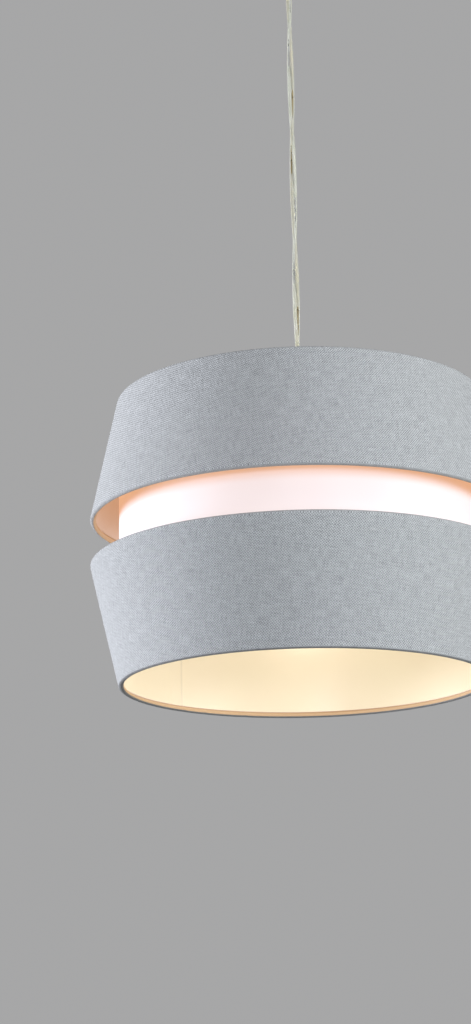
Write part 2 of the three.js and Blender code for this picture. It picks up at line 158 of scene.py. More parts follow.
def ramp(tree, amount, stops):
    """A colour ramp through (position, (red, green, blue)) stops."""
    made = node(tree, "ValToRGB", {0: amount})
    while len(made.color_ramp.elements) < len(stops):
        made.color_ramp.elements.new(0.5)
    for element, (position, colour) in zip(made.color_ramp.elements, stops):
        element.position = position
        element.color = (*colour, 1)
    return made.outputs[0]


def material(name, colour, roughness, metallic=0.0, **sockets):
    """A Principled material. Returns it with its node tree and its shader node."""
    made = bpy.data.materials.new(name)
    made.use_nodes = True
    shader = made.node_tree.nodes["Principled BSDF"]
    shader.inputs["Base Color"].default_value = (*colour, 1)
    shader.inputs["Roughness"].default_value = roughness
    shader.inputs["Metallic"].default_value = metallic
    for socket, value in sockets.items():
        shader.inputs[socket.replace("_", " ")].default_value = value
    return made, made.node_tree, shader


def add_bump(tree, shader, height, strength, distance_mm):
    """Bump from a height, with the depth of its relief in millimetres."""
    bump = node(tree, "Bump", {"Height": height, "Strength": strength, "Distance": distance_mm * MM})
    tree.links.new(bump.outputs[0], shader.inputs["Normal"])


def shade_of(colour, factor):
    return tuple(min(1.0, channel * factor) for channel in colour)


def mottled(name, colour, roughness, metallic=0.0, spread=0.06, scale=90.0, grain=2500.0,
            relief_mm=0.02, rough_spread=0.12, **sockets):
    """A finish whose colour and gloss vary gently, with a fine grain in its surface."""
    made, tree, shader = material(name, colour, roughness, metallic, **sockets)
    cloud = noise(tree, scale, 4)
    stops = [(0.3, shade_of(colour, 1 - spread)), (0.7, shade_of(colour, 1 + spread))]
    tree.links.new(ramp(tree, cloud, stops), shader.inputs["Base Color"])
    gloss = node(tree, "MapRange", {0: cloud, 1: 0.3, 2: 0.7, 3: roughness * (1 - rough_spread),
                                    4: roughness * (1 + rough_spread)})
    tree.links.new(gloss.outputs[0], shader.inputs["Roughness"])
    add_bump(tree, shader, noise(tree, grain, 3), 0.5, relief_mm)
    return made


def around_from_seam(tree):
    """The angle round the shade, 0 opposite the seam and pi at it, and the distance from the axis."""
    place = node(tree, "TexCoord").outputs["Object"]
    spin = node(tree, "VectorRotate", {"Vector": place, "Angle": math.pi - SEAM_TURN}, rotation_type="Z_AXIS")
    x, y, _ = node(tree, "SeparateXYZ", {0: spin.outputs[0]}).outputs
    across = node(tree, "VectorMath", {0: node(tree, "CombineXYZ", {0: x, 1: y}).outputs[0]}, operation="LENGTH")
    return maths(tree, "ARCTAN2", y, x), across.outputs["Value"]


def cotton(name, painted_shade_factor=1.0):
    """Plain-weave grey cotton, with slubs in both threads.

    The cloth was cut flat, as a part of a wide ring, so its straight threads run at a slant
    to the tier's edges, more and more towards its seam.
    """
    # A factor below 1 gives a darker copy of the cloth, used as painted shade on the underside of the bottom roll.
    colour = shade_of((0.352, 0.361, 0.377), painted_shade_factor)
    made, tree, shader = material(name, colour, 0.92, Sheen_Weight=0.1, Sheen_Roughness=0.5)
    thread_mm = 0.94
    turn, across = around_from_seam(tree)
    spread_turn = maths(tree, "MULTIPLY", turn, CONE)
    reach = maths(tree, "DIVIDE", across, CONE)
    flat_x = maths(tree, "MULTIPLY", reach, maths(tree, "SINE", spread_turn))
    flat_y = maths(tree, "MULTIPLY", reach, maths(tree, "COSINE", spread_turn))
    per_metre = math.pi / (thread_mm * MM)
    warp = maths(tree, "SINE", maths(tree, "MULTIPLY", flat_x, per_metre))
    weft = maths(tree, "SINE", maths(tree, "MULTIPLY", flat_y, per_metre))
    weave = maths(tree, "MULTIPLY", warp, weft)
    flat = node(tree, "CombineXYZ", {0: flat_x, 1: flat_y}).outputs[0]

    def slubs(stretch):
        scaled = node(tree, "Mapping", {"Vector": flat, "Scale": stretch}).outputs[0]
        return node(tree, "TexNoise", {"Vector": scaled, "Scale": 1.0, "Detail": 2.0}).outputs["Fac"]

    slub = maths(tree, "ADD", slubs((1100, 110, 1)), slubs((110, 1100, 1)))
    height = maths(tree, "ADD", maths(tree, "MULTIPLY", weave, 0.36), maths(tree, "MULTIPLY", slub, 0.5))
    # The colour follows the relief: lighter on raised slubs and darker low in the weave. The slubs' tone is the yarn's
    # own; the darkening between threads is painted shade.
    tone = node(tree, "MapRange", {0: height, 1: 0.1, 2: 0.9, 3: 0.0, 4: 1.0}).outputs[0]
    stops = [(0.0, shade_of(colour, 0.48)), (0.5, colour), (1.0, shade_of(colour, 1.52))]
    tree.links.new(ramp(tree, tone, stops), shader.inputs["Base Color"])
    add_bump(tree, shader, height, 1.0, 0.42)
    return made


def glowing(name, colour, glow, strength, roughness, cloud_scale=14.0, seam=False, tier_shadow_tint=None, **sockets):
    """A sheet that gives out light: the bulb's dome, which is a lamp, and the shade's sheets, whose light from the
    bulb behind them is painted on as glow. Its glow is a little uneven, and painted dimmer where the sheet overlaps.

    A warmer colour given for the upper tier's shadow is painted from that tier's edge up: painted shade, where the
    tier shadows the sheet.
    """
    made, tree, shader = material(name, colour, roughness, **sockets)
    cloud = noise(tree, cloud_scale, 2)
    glow_ramp = ramp(tree, cloud, [(0.3, shade_of(glow, 0.95)), (0.7, shade_of(glow, 1.04))])
    # Painted shade: from the upper tier's edge up, the glow turns to the warmer colour, standing in for the tier's
    # shadow on the drum.
    if tier_shadow_tint:
        height = node(tree, "SeparateXYZ", {0: node(tree, "TexCoord").outputs["Object"]}).outputs[2]
        edge_z = Z_UPPER * MM
        rise = node(tree, "MapRange", {0: height, 1: edge_z - 0.005, 2: edge_z + 0.005}, interpolation_type="SMOOTHSTEP")
        warm = node(tree, "Mix", {0: rise.outputs[0], 6: glow_ramp, 7: (*tier_shadow_tint, 1)}, data_type="RGBA")
        glow_ramp = warm.outputs[2]
    # Painted shade: a thin line at the seam, where the sheet overlaps, glows dimmer.
    if seam:
        turn, _ = around_from_seam(tree)
        from_edge = maths(tree, "SUBTRACT", math.pi - 0.002, maths(tree, "ABSOLUTE", turn))
        edge = maths(tree, "LESS_THAN", maths(tree, "ABSOLUTE", from_edge), 0.004)
        dim = node(tree, "Mix", {0: edge, 6: glow_ramp, 7: (*shade_of(glow, 0.78), 1)}, data_type="RGBA")
        glow_ramp = dim.outputs[2]
    tree.links.new(glow_ramp, shader.inputs["Emission Color"])
    shader.inputs["Emission Strength"].default_value = strength
    add_bump(tree, shader, noise(tree, 700, 3), 0.3, 0.03)
    return made


def clear_pvc():
    made, tree, shader = material("clear_pvc", (0.93, 0.94, 0.82), 0.16, Transmission_Weight=0.6, IOR=1.47)
    cloud = noise(tree, 160, 3)
    tree.links.new(ramp(tree, cloud, [(0.3, (0.86, 0.88, 0.74)), (0.7, (0.97, 0.97, 0.9))]),
                   shader.inputs["Base Color"])
    add_bump(tree, shader, noise(tree, 900, 2), 0.3, 0.02)
    return made


def make_materials():
    white = (0.78, 0.77, 0.745)
    metal = {"spread": 0.08, "scale": 300, "relief_mm": 0.01, "rough_spread": 0.3}
    return {
        "grey_cotton": cotton("grey_cotton"),
        "hem_shade_cotton": cotton("hem_shade_cotton", 0.6),
        # white_lining, lit_drum, drum_inside and lit_hem are painted light: the bulb's light through the shade is
        # painted on them as glow.
        "white_lining": glowing("white_lining", (0.52, 0.44, 0.37), (0.66, 0.43, 0.285), 0.28, 0.5),
        "lit_drum": glowing("lit_drum", (0.31, 0.35, 0.42), (1.0, 0.76, 0.67), 0.66, 0.5, seam=True,
                            tier_shadow_tint=(0.93, 0.44, 0.2)),
        "drum_inside": glowing("drum_inside", (0.4, 0.37, 0.31), (1.0, 0.8, 0.53), 0.49, 0.3, seam=True,
                               Specular_IOR_Level=1.0, Coat_Weight=1.0, Coat_Roughness=0.16, Coat_IOR=1.8),
        "lit_hem": glowing("lit_hem", (0.36, 0.27, 0.18), (0.8, 0.44, 0.2), 0.3, 0.9, 60.0),
        "white_wire": mottled("white_wire", (0.82, 0.81, 0.78), 0.34, relief_mm=0.05, grain=900),
        "white_plastic": mottled("white_plastic", white, 0.32, spread=0.025, relief_mm=0.015),
        "clear_pvc": clear_pvc(),
        "core_brown": mottled("core_brown", (0.16, 0.07, 0.035), 0.42),
        "core_blue": mottled("core_blue", (0.03, 0.11, 0.36), 0.42),
        "brass": mottled("brass", (0.62, 0.42, 0.13), 0.3, 1.0, **metal),
        "steel": mottled("steel", (0.5, 0.52, 0.54), 0.28, 1.0, **metal),
        "nickel": mottled("nickel", (0.6, 0.59, 0.56), 0.24, 1.0, **metal),
        "black_insulator": mottled("black_insulator", (0.012, 0.012, 0.014), 0.2, Coat_Weight=0.5),
        "board_green": mottled("board_green", (0.03, 0.16, 0.06), 0.5, spread=0.2, Coat_Weight=0.3),
        "board_aluminium": mottled("board_aluminium", (0.7, 0.71, 0.72), 0.4, 0.8, **metal),
        "lit_dome": glowing("lit_dome", (0.9, 0.88, 0.82), (1.0, 0.86, 0.66), 8.0, 0.45, 40.0),
        "tinned_strand": mottled("tinned_strand", (0.66, 0.67, 0.66), 0.3, 1.0, **metal),
        "copper_strand": mottled("copper_strand", (0.42, 0.34, 0.2), 0.34, 1.0, **metal),
    }


# ---------------------------------------------------------------- meshes


def new_mesh(name, points_mm, faces, finish, crease=38.0):
    """A mesh object with outward faces, smooth except at edges sharper than the crease."""
    mesh = bpy.data.meshes.new(name)
    mesh.from_pydata((np.asarray(points_mm) * MM).tolist(), [], faces)
    shell = bmesh.new()
    shell.from_mesh(mesh)
    bmesh.ops.remove_doubles(shell, verts=shell.verts, dist=1e-6)
    bmesh.ops.recalc_face_normals(shell, faces=shell.faces)
    if shell.calc_volume(signed=True) < 0:
        bmesh.ops.reverse_faces(shell, faces=shell.faces)
    shell.to_mesh(mesh)
    shell.free()
    mesh.polygons.foreach_set("use_smooth", [True] * len(mesh.polygons))
    mesh.set_sharp_from_angle(angle=math.radians(crease))
    mesh.materials.append(FINISH[finish])
    made = bpy.data.objects.new(name, mesh)
    bpy.context.scene.collection.objects.link(made)
    return made


def place(piece, body, slot, *nodes):
    """Puts a piece on its body, in place of the CAD nodes it stands for. The slot is not used."""
    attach(piece, body)
    if nodes:
        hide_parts(*nodes)
    return piece


def rounded(outline, radius=0.4, steps=3):
    """The outline with its corners rounded. A point may give its own radius as a third number."""
    curve = []
    for i, point in enumerate(outline):
        corner = Vector(point[:2])
        if point[0] == 0:
            curve.append(tuple(corner))
            continue
        before = Vector(outline[i - 1][:2]) - corner
        after = Vector(outline[(i + 1) % len(outline)][:2]) - corner
        if abs(before.normalized().cross(after.normalized())) < 0.02:
            curve.append(tuple(corner))
            continue
        reach = min(point[2] if len(point) > 2 else radius, 0.42 * before.length, 0.42 * after.length)
        start, end = corner + before.normalized() * reach, corner + after.normalized() * reach
        for step in range(steps + 1):
            t = step / steps
            curve.append(tuple(start * (1 - t) ** 2 + corner * 2 * t * (1 - t) + end * t**2))
    return curve


def revolve(outline, segments=ROUND, shape=None):
    """Points and faces of an outline turned about Z: closed, or with both ends on the axis.

    shape(r, z, turn) may move the points: it gets arrays of radii, heights and angles.
    """
    outline = np.array(outline, float)
    poles = outline[[0, -1]] if outline[0, 0] == 0 and outline[-1, 0] == 0 else None
    rings = outline if poles is None else outline[1:-1]
    count = len(rings)
    turn = np.linspace(0, 2 * math.pi, segments, endpoint=False)[:, None]
    r, turn = np.broadcast_arrays(rings[None, :, 0], turn)
    z = np.broadcast_to(rings[None, :, 1], r.shape)
    if shape:
        r, z = shape(r, z, turn)
    points = np.stack([r * np.cos(turn), r * np.sin(turn), z], -1).reshape(-1, 3)
    across = np.arange(count if poles is None else count - 1)
    a = (np.arange(segments)[:, None] * count + across).ravel()
    a_next = (np.arange(segments)[:, None] * count + (across + 1) % count).ravel()
    total = segments * count
    faces = np.stack([a, (a + count) % total, (a_next + count) % total, a_next], -1).tolist()
    if poles is not None:
        points = np.vstack([points, [[0, 0, z] for z in poles[:, 1]]])
        for i in range(segments):
            here, there = i * count, (i + 1) % segments * count
            faces.append([total, there, here])
            faces.append([total + 1, here + count - 1, there + count - 1])
    return points, faces


def turned(name, outline, finish, segments=ROUND, shape=None, corner=0.4, crease=38.0):
    points, faces = revolve(rounded(outline, corner) if corner else outline, segments, shape)
    return new_mesh(name, points, faces, finish, crease)


def sweep(route, sections, normal=(1, 0, 0)):
    """Points and faces of a closed tube: one section of (across, up) offsets at each point of the route."""
    route = [Vector(p) for p in route]
    side = Vector(normal)
    points = []
    for i, centre in enumerate(route):
        along = (route[min(i + 1, len(route) - 1)] - route[max(i - 1, 0)]).normalized()
        side = (side - along * side.dot(along)).normalized()
        up = along.cross(side)
        points += [centre + side * u + up * v for u, v in sections[i]]
    sides = len(sections[0])
    faces = [[i * sides + k, i * sides + (k + 1) % sides, (i + 1) * sides + (k + 1) % sides,
              (i + 1) * sides + k] for i in range(len(route) - 1) for k in range(sides)]
    faces.append(list(range(sides)))
    faces.append(list(range((len(route) - 1) * sides, len(route) * sides)))
    return [tuple(p) for p in points], faces


def circle(radius, sides, start=0.0):
    steps = [start + 2 * math.pi * i / sides for i in range(sides)]
    return [(radius * math.cos(turn), radius * math.sin(turn)) for turn in steps]


def spline(points, steps):
    """Points along a smooth curve through the given ones."""
    given = [Vector(p) for p in points]
    given = [2 * given[0] - given[1], *given, 2 * given[-1] - given[-2]]
    curve = []
    for i in range(1, len(given) - 2):
        p0, p1, p2, p3 = given[i - 1 : i + 3]
        for s in range(steps):
            t = s / steps
            curve.append(0.5 * (2 * p1 + (p2 - p0) * t + (2 * p0 - 5 * p1 + 4 * p2 - p3) * t**2
                                + (3 * p1 - p0 - 3 * p2 + p3) * t**3))
    return [*curve, given[-2]]


def cut_with(piece, cutters):
    """Cuts the cutters' shapes out of the piece, and removes them."""
    for cutter in cutters:
        modifier = piece.modifiers.new("cut", "BOOLEAN")
        modifier.operation = "DIFFERENCE"
        modifier.solver = "MANIFOLD"
        modifier.object = cutter
    bpy.context.view_layer.update()
    result = bpy.data.meshes.new_from_object(piece.evaluated_get(bpy.context.evaluated_depsgraph_get()))
    piece.modifiers.clear()
    piece.data = result
    result.set_sharp_from_angle(angle=math.radians(38))
    for cutter in cutters:
        bpy.data.objects.remove(cutter)


def box_mesh(name, low, high, turn, finish):
    """A box between two corners, turned about Z."""
    corners = [Vector((x, y, z)) for z in (low[2], high[2]) for y in (low[1], high[1]) for x in (low[0], high[0])]
    spin = Matrix.Rotation(turn, 3, "Z")
    faces = [[0, 1, 3, 2], [4, 5, 7, 6], [0, 1, 5, 4], [2, 3, 7, 6], [0, 2, 6, 4], [1, 3, 7, 5]]
    return new_mesh(name, [tuple(spin @ c) for c in corners], faces, finish)


def peg(x, y, radius, z0=-5.0, z1=1.0):
    """A cutter for a round hole, by default right through the rose's backplate."""
    points, faces = sweep([(x, y, z0), (x, y, z1)], [circle(radius, 48)] * 2)
    return new_mesh("peg", points, faces, "white_plastic")


def threaded(radius, z0, z1, pitch, depth):
    """A shape for revolve: a screw thread cut into the wall at that radius, between two heights."""

    def shape(r, z, turn):
        on_wall = (np.abs(r - radius) < 0.05) & (z > z0) & (z < z1)
        fade = np.clip(np.minimum(z - z0, z1 - z) / pitch, 0, 1)
        crest = 0.5 + 0.5 * np.cos(2 * math.pi * z / pitch - turn)
        return r - np.where(on_wall, depth * fade * (1 - crest), 0), z

    return shape


def ribbed(radius, z0, z1, count, depth):
    """A shape for revolve: grip ribs round the wall at that radius, between two heights."""

    def shape(r, z, turn):
        on_wall = (np.abs(r - radius) < 0.7) & (z > z0) & (z < z1)
        groove = np.clip(np.cos(count * turn) * 1.6 - 0.2, 0, 1)
        return r - np.where(on_wall, depth * groove, 0), z

    return shape


def wall(r0, z0, r1, z1, step):
    """Points along a straight wall, close enough together to take a thread."""
    count = max(1, round(math.hypot(r1 - r0, z1 - z0) / step))
    return [(r0 + (r1 - r0) * i / count, z0 + (z1 - z0) * i / count) for i in range(count + 1)]


# ---------------------------------------------------------------- the flex

FLEX_RINGS = 200
LOBE_R = FLEX_T / 2
LOBE_X = FLEX_W / 2 - LOBE_R
# The flex's twist in degrees at heights from its lower end up: it turns fastest inside the cap.
TWIST = [(FLEX_END_Z, 0), (-350, 48), (-335, 84), (-296, 172), (OUTLET_Z, 720)]


def twist_at(z):
    return math.radians(np.interp(z, [h for h, _ in TWIST], [d for _, d in TWIST]))


def twin_section(turn, points_per_lobe=14):
    """The flex's figure-of-eight section, turned."""
    half = math.acos(-LOBE_X / LOBE_R * 0.97)
    section = []
    for side in (1, -1):
        for i in range(points_per_lobe):
            angle = -half + 2 * half * i / (points_per_lobe - 1)
            section.append((side * (LOBE_X + LOBE_R * math.cos(angle)), side * LOBE_R * math.sin(angle)))
    c, s = math.cos(turn), math.sin(turn)
    return [(x * c - y * s, x * s + y * c) for x, y in section]


def flex_route(z0, z1, count):
    return [(0.0, 0.0, z0 + (z1 - z0) * i / (count - 1)) for i in range(count)]


def conductor(z0, z1, count, side):
    """A bundle of twisted strands up the middle of one side of the flex."""
    core_r = 0.72
    strands = 7
    route, sections = [], []
    for _, _, z in flex_route(z0, z1, count):
        turn = twist_at(z)
        route.append((side * LOBE_X * math.cos(turn), side * LOBE_X * math.sin(turn), z))
        lay = z * 0.5
        sections.append([
            (r * math.cos(a), r * math.sin(a))
            for a in [2 * math.pi * k / 28 for k in range(28)]
            for r in [core_r * (0.9 + 0.1 * abs(math.sin(strands * (a + lay) / 2)))]
        ])
    return sweep(route, sections)


def make_flex():
    top = OUTLET_Z - CLEAR
    route = flex_route(top, FLEX_END_Z, FLEX_RINGS)
    points, faces = sweep(route, [twin_section(twist_at(z)) for _, _, z in route])
    flex = place(new_mesh("twin_flex", points, faces, "clear_pvc"), "flex", "clear_pvc", "flex")
    for name, side, finish in (("live", -1, "copper_strand"), ("neutral", 1, "tinned_strand")):
        points, faces = conductor(top - 0.4, FLEX_END_Z + 0.4, FLEX_RINGS * 2, side)
        strand = new_mesh(f"flex_conductor_{name}", points, faces, finish)
        place(strand, "flex", "steel")
    tail_route = flex_route(TAIL_TOP_Z, TAIL_END_Z, 9)
    points, faces = sweep(tail_route, [twin_section(0.0)] * len(tail_route))
    tail = place(new_mesh("flex_tail_in_rose", points, faces, "clear_pvc"), "flex_tail", "clear_pvc", "flex_tail")


# ---------------------------------------------------------------- the rose


def make_rose():
    base = turned(
        "rose_backplate",
        [(0, 0), (BASE_R, 0), (BASE_R, -3.5), (SPIGOT_R, -3.5, 0.2), *wall(SPIGOT_R, -4, SPIGOT_R, -12.4, 0.4),
         (SPIGOT_R, -13), (32, -13), (32, -3.5, 1.0), (0, -3.5)],
        "white_plastic", corner=0.3,
        shape=threaded(SPIGOT_R, -12.6, -4.2, 3.0, 0.25),
    )
    cut_with(base, [peg(0, 19, 6), peg(-25.4, 0, 2.3), peg(25.4, 0, 2.3)])
    place(base, "rose", "white_plastic", "rose_base")

    nose = OUTLET_Z - 0.8
    outlet_r = 8.3
    thick = 2.2
    cover = turned(
        "rose_cover_moulding",
        [(outlet_r, nose, 0.3), (18, nose, 4), (28, nose + 2.6, 6), (36.5, nose + 10, 6),
         (ROSE_R - 1.2, nose + 20, 5), (ROSE_R, nose + 28, 2), (ROSE_R, -4.6, 0.2), (ROSE_R - 0.35, -4.4, 0.1),
         (ROSE_R - 0.35, -3.9, 0.1), (ROSE_R, -3.7, 0.2), (ROSE_R, -0.8, 0.6), (BASE_R + 0.6, -0.8),
         (BASE_R + 0.6, -4.4), (SPIGOT_R + 0.4, -4.4), (SPIGOT_R + 0.4, -13.6, 0.8),
         (ROSE_R - 2 * thick, nose + 19.6, 4), (34.6, nose + 11.6, 5), (27, nose + 4.9, 5),
         (17.6, nose + thick, 3), (outlet_r, nose + thick, 0.3)],
        "white_plastic", 192, ribbed(ROSE_R - 0.3, nose + 24, -6, 60, 0.35),
    )
    place(cover, "rose_cover", "white_plastic", "rose_cover")
    grommet = turned(
        "outlet_bush",
        [(6.2, nose + 3.4), (9.7, nose + 3.4), (9.7, nose + thick + CLEAR), (outlet_r - CLEAR, nose + thick + CLEAR),
         (outlet_r - CLEAR, nose - CLEAR), (9.7, nose - CLEAR, 0.3), (9, nose - 1.4, 0.5), (7, nose - 1.4, 0.5),
         (6.2, nose - 0.2, 0.5)],
        "white_plastic", corner=0.25,
    )
    place(grommet, "outlet_bush", "white_plastic", "outlet_grommet")


# ---------------------------------------------------------------- the lampholder


def bayonet_cutters(locked):
    """Cutters for one J-shaped bayonet slot, at the angle of its locked end."""
    slot_w = 2.8
    low = PIN_Z - slot_w / 2
    high = PIN_Z + slot_w / 2 + BAYONET_PUSH
    turn = math.radians(BAYONET_TURN)
    run = SOCKET_R * turn + slot_w + 0.8
    r0, r1 = SOCKET_R - 1, BARREL_R + 1
    return [
        box_mesh("entry", (r0, -slot_w / 2, BARREL_END_Z - 1), (r1, slot_w / 2, high), locked - turn, "white_plastic"),
        box_mesh("sideways", (r0, -run / 2, low), (r1, run / 2, high), locked - turn / 2, "white_plastic"),
    ]


def make_spring(name, x, node_name):
    """A coil spring behind a contact, drawn at rest. On the real holder its foot rises with the contact when the bulb
    is pushed in.
    """
    coils, per_coil, radius, wire_r = 4, 24, 2.15, 0.3
    foot, top = SEAT_Z + 5.3, SEAT_Z + 11.6
    route = []
    for i in range(coils * per_coil + 1):
        turn = 2 * math.pi * i / per_coil
        along = i / (coils * per_coil)
        route.append((x + radius * math.cos(turn), radius * math.sin(turn), foot + (top - foot) * along))
    points, faces = sweep(route, [circle(wire_r, 10)] * len(route))
    spring = place(new_mesh(name, points, faces, "steel", 60), "holder", "steel", node_name)
    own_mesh(spring)


def make_holder():
    body = turned(
        "lampholder_barrel",
        [(SOCKET_R, BARREL_END_Z, 0.5), (BARREL_R - 0.6, BARREL_END_Z, 0.2), (BARREL_R, BARREL_END_Z + 0.8, 0.2),
         *wall(BARREL_R, BARREL_END_Z + 1.2, BARREL_R, SEAT_Z - 0.4, 0.35),
         (BARREL_R, SEAT_Z, 0.1), (20.5, SEAT_Z, 0.5), (20.5, SEAT_Z + 3.5, 0.4), (17.3, SEAT_Z + 3.5, 0.1),
         (17.3, SEAT_Z + 13.1, 0.3), (SOCKET_R, SEAT_Z + 13.1, 0.3)],
        "white_plastic", 128, threaded(BARREL_R, BARREL_END_Z + 1, SEAT_Z - 1, 2.2, 0.42), corner=0.05,
    )
    cut_with(body, [*bayonet_cutters(0.0), *bayonet_cutters(math.pi)])
    place(body, "holder", "white_plastic", "holder_body")

    block = turned(
        "contact_carrier",
        [(0, SEAT_Z), (SOCKET_R - 0.4, SEAT_Z), (SOCKET_R - 0.4, SEAT_Z + 13.4, 0.1), (13.6, SEAT_Z + 13.4, 0.2),
         (13.6, BLOCK_TOP_Z, 0.6), (0, BLOCK_TOP_Z)],
        "white_plastic", 96,
    )
    cut_with(block, [cutter for x in (-CONTACT_X, CONTACT_X)
                     for cutter in (peg(x, 0, 2.6, SEAT_Z - 1, SEAT_Z + 3.1),
                                    peg(x, 0, 3.3, SEAT_Z + 3, SEAT_Z + 12.2))])
    place(block, "holder", "white_plastic", "contact_block")

    for side, x in (("live", -CONTACT_X), ("neutral", CONTACT_X)):
        make_spring(f"contact_spring_{side}", x, f"plunger_spring_{side}")

    cap = turned(
        "lampholder_cap",
        [(17.7, SEAT_Z + 3.8, 0.2), (20.5, SEAT_Z + 3.8, 0.5), (20.5, SEAT_Z + 5.2, 0.2),
         *wall(20.5, SEAT_Z + 5.6, 20.5, SEAT_Z + 13.2, 0.6), (20.5, SEAT_Z + 14, 1.5),
         (19, SEAT_Z + 20, 3), (14.5, SEAT_Z + 27, 3), (8.4, SEAT_Z + 31.5, 2), (6.8, SEAT_Z + 33.5, 1),
         (6.4, CAP_TOP_Z - 0.8, 0.3), (5.6, CAP_TOP_Z, 0.3), (3.6, CAP_TOP_Z, 0.5), (3.6, SEAT_Z + 31.5, 0.5),
         (7, SEAT_Z + 29.6, 1), (12.8, SEAT_Z + 25.4, 1), (16.8, SEAT_Z + 19.2, 1), (17.7, SEAT_Z + 15.8, 1)],
        "white_plastic", 192, ribbed(20.5, SEAT_Z + 5.4, SEAT_Z + 13.5, 24, 0.55),
    )
    place(cap, "holder_cap", "white_plastic", "holder_cap")


# ---------------------------------------------------------------- the bulb


def make_bulb():
    def at(outline):
        return [(p[0], BULB_Z + p[1], *p[2:]) for p in outline]

    centre = BULB_R - BULB_LENGTH
    steps = 28
    turns = [math.pi / 2 * i / steps for i in range(steps + 1)]
    outer = [(BULB_R * math.sin(a), centre - BULB_R * math.cos(a)) for a in turns]
    inner = [((BULB_R - 1.2) * math.sin(a), centre - (BULB_R - 1.2) * math.cos(a)) for a in turns]
    dome_outline = [*outer, (29.4, -66.5), (28.4, -61.4), (27.2, -61.4), (28.2, -66.5), *reversed(inner)]
    dome = turned("bulb_diffuser", at(dome_outline), "lit_dome", corner=0)
    place(dome, "bulb", "lit_dome", "bulb_dome")

    housing = turned(
        "bulb_heat_sink",
        at([(12.9, -25.4, 0.2), (13.6, -31, 3), *wall(14.2, -32, 19.5, -41.5, 0.8),
            *wall(19.9, -42.2, 25.4, -51.4, 0.8), (25.8, -52, 2), (28.6, -61, 0.2), (27, -61, 0.2), (24.2, -52.6, 2),
            (18, -42.4, 2), (12, -31.6, 2), (11.3, -25.4, 0.2)]),
        "white_plastic", 192,
        lambda r, z, turn: (r - np.where(
            (z < BULB_Z - 33) & (z > BULB_Z - 51) & (r > 12.6 + (BULB_Z - z - 25.4) * 0.44 - 0.9),
            0.5 * np.clip(np.cos(32 * turn) * 1.5, 0, 1), 0), z),
        corner=0.2,
    )
    place(housing, "bulb", "white_plastic", "bulb_housing")

    sleeve = turned(
        "bulb_cap_sleeve",
        at([(10.4, -1.2, 0.3), (10.8, -1, 0.2), (11, -1.6, 0.2), (11, -17, 0.2), (10.85, -17.4, 0.2), (11, -17.8, 0.2),
            (11, -23.9, 0.5), (12.2, -25.1, 0.2), (11.6, -25.1, 0.2), (10.4, -24.1, 0.5)]),
        "nickel", corner=0.2,
    )
    place(sleeve, "bulb", "nickel", "bulb_cap")
    insulator = turned(
        "bulb_cap_glass",
        at([(0, -0.9), (8.6, -0.9, 0.6), (10.1, -2.4, 0.5), (10.1, -4, 0.3), (0, -4)]),
        "black_insulator",
    )
    place(insulator, "bulb", "black_insulator", "cap_insulator")


# ---------------------------------------------------------------- the shade

ROLL_POINTS = 12
ROLL_SWEEP = math.radians(205)
PANEL_POINTS = 22


def wire_at(outer_r, edge_z, upwards):
    return outer_r - ROLL_R, edge_z + (-ROLL_R if upwards else ROLL_R)


def roll(centre, upwards):
    """Centreline points of the cloth round a wire, from its outer side inwards over the edge."""
    radius = ROLL_R - CLOTH_T / 2
    sign = 1 if upwards else -1
    steps = [ROLL_SWEEP * i / (ROLL_POINTS - 1) for i in range(ROLL_POINTS)]
    return [(centre[0] + radius * math.cos(a), centre[1] + sign * radius * math.sin(a)) for a in steps]


def ribbon(centreline, thickness):
    """The outline of a sheet of that thickness along a centreline."""
    line = np.array(centreline, float)
    along = np.gradient(line, axis=0)
    along /= np.linalg.norm(along, axis=1)[:, None]
    across = np.stack([along[:, 1], -along[:, 0]], -1) * thickness / 2
    return [*(line + across).tolist(), *(line - across)[::-1].tolist()]


def hem_life(top_z, low_z):
    """A shape for revolve: the small unevenness of a hem turned by hand, and the tuck at its seam."""
    wires = [top_z - ROLL_R, low_z + ROLL_R]

    def shape(r, z, turn):
        near = sum(np.exp(-(((z - wire) / 4.0) ** 2)) for wire in wires)
        wave = 0.05 * np.sin(9 * turn + z * 0.02) + 0.04 * np.sin(23 * turn + 1.3) + 0.03 * np.sin(41 * turn)
        tuck = sum(size * np.exp(-(((turn - at + math.pi) % (2 * math.pi) - math.pi) / width) ** 2)
                   for at, width, size in HEM_TUCKS)
        panel = 0.05 * np.sin(3 * turn + z * 0.05) * (1 - np.clip(near, 0, 1))
        return r + (wave * near * 0.8 + panel - tuck * near), z

    return shape


# Where the hem bunches, as (angle, half width, depth in millimetres).
HEM_TUCKS = [(SEAM_TURN, 0.012, 0.6), (SEAM_TURN - 0.16, 0.014, 0.9), (SEAM_TURN - 0.42, 0.018, 0.8)]


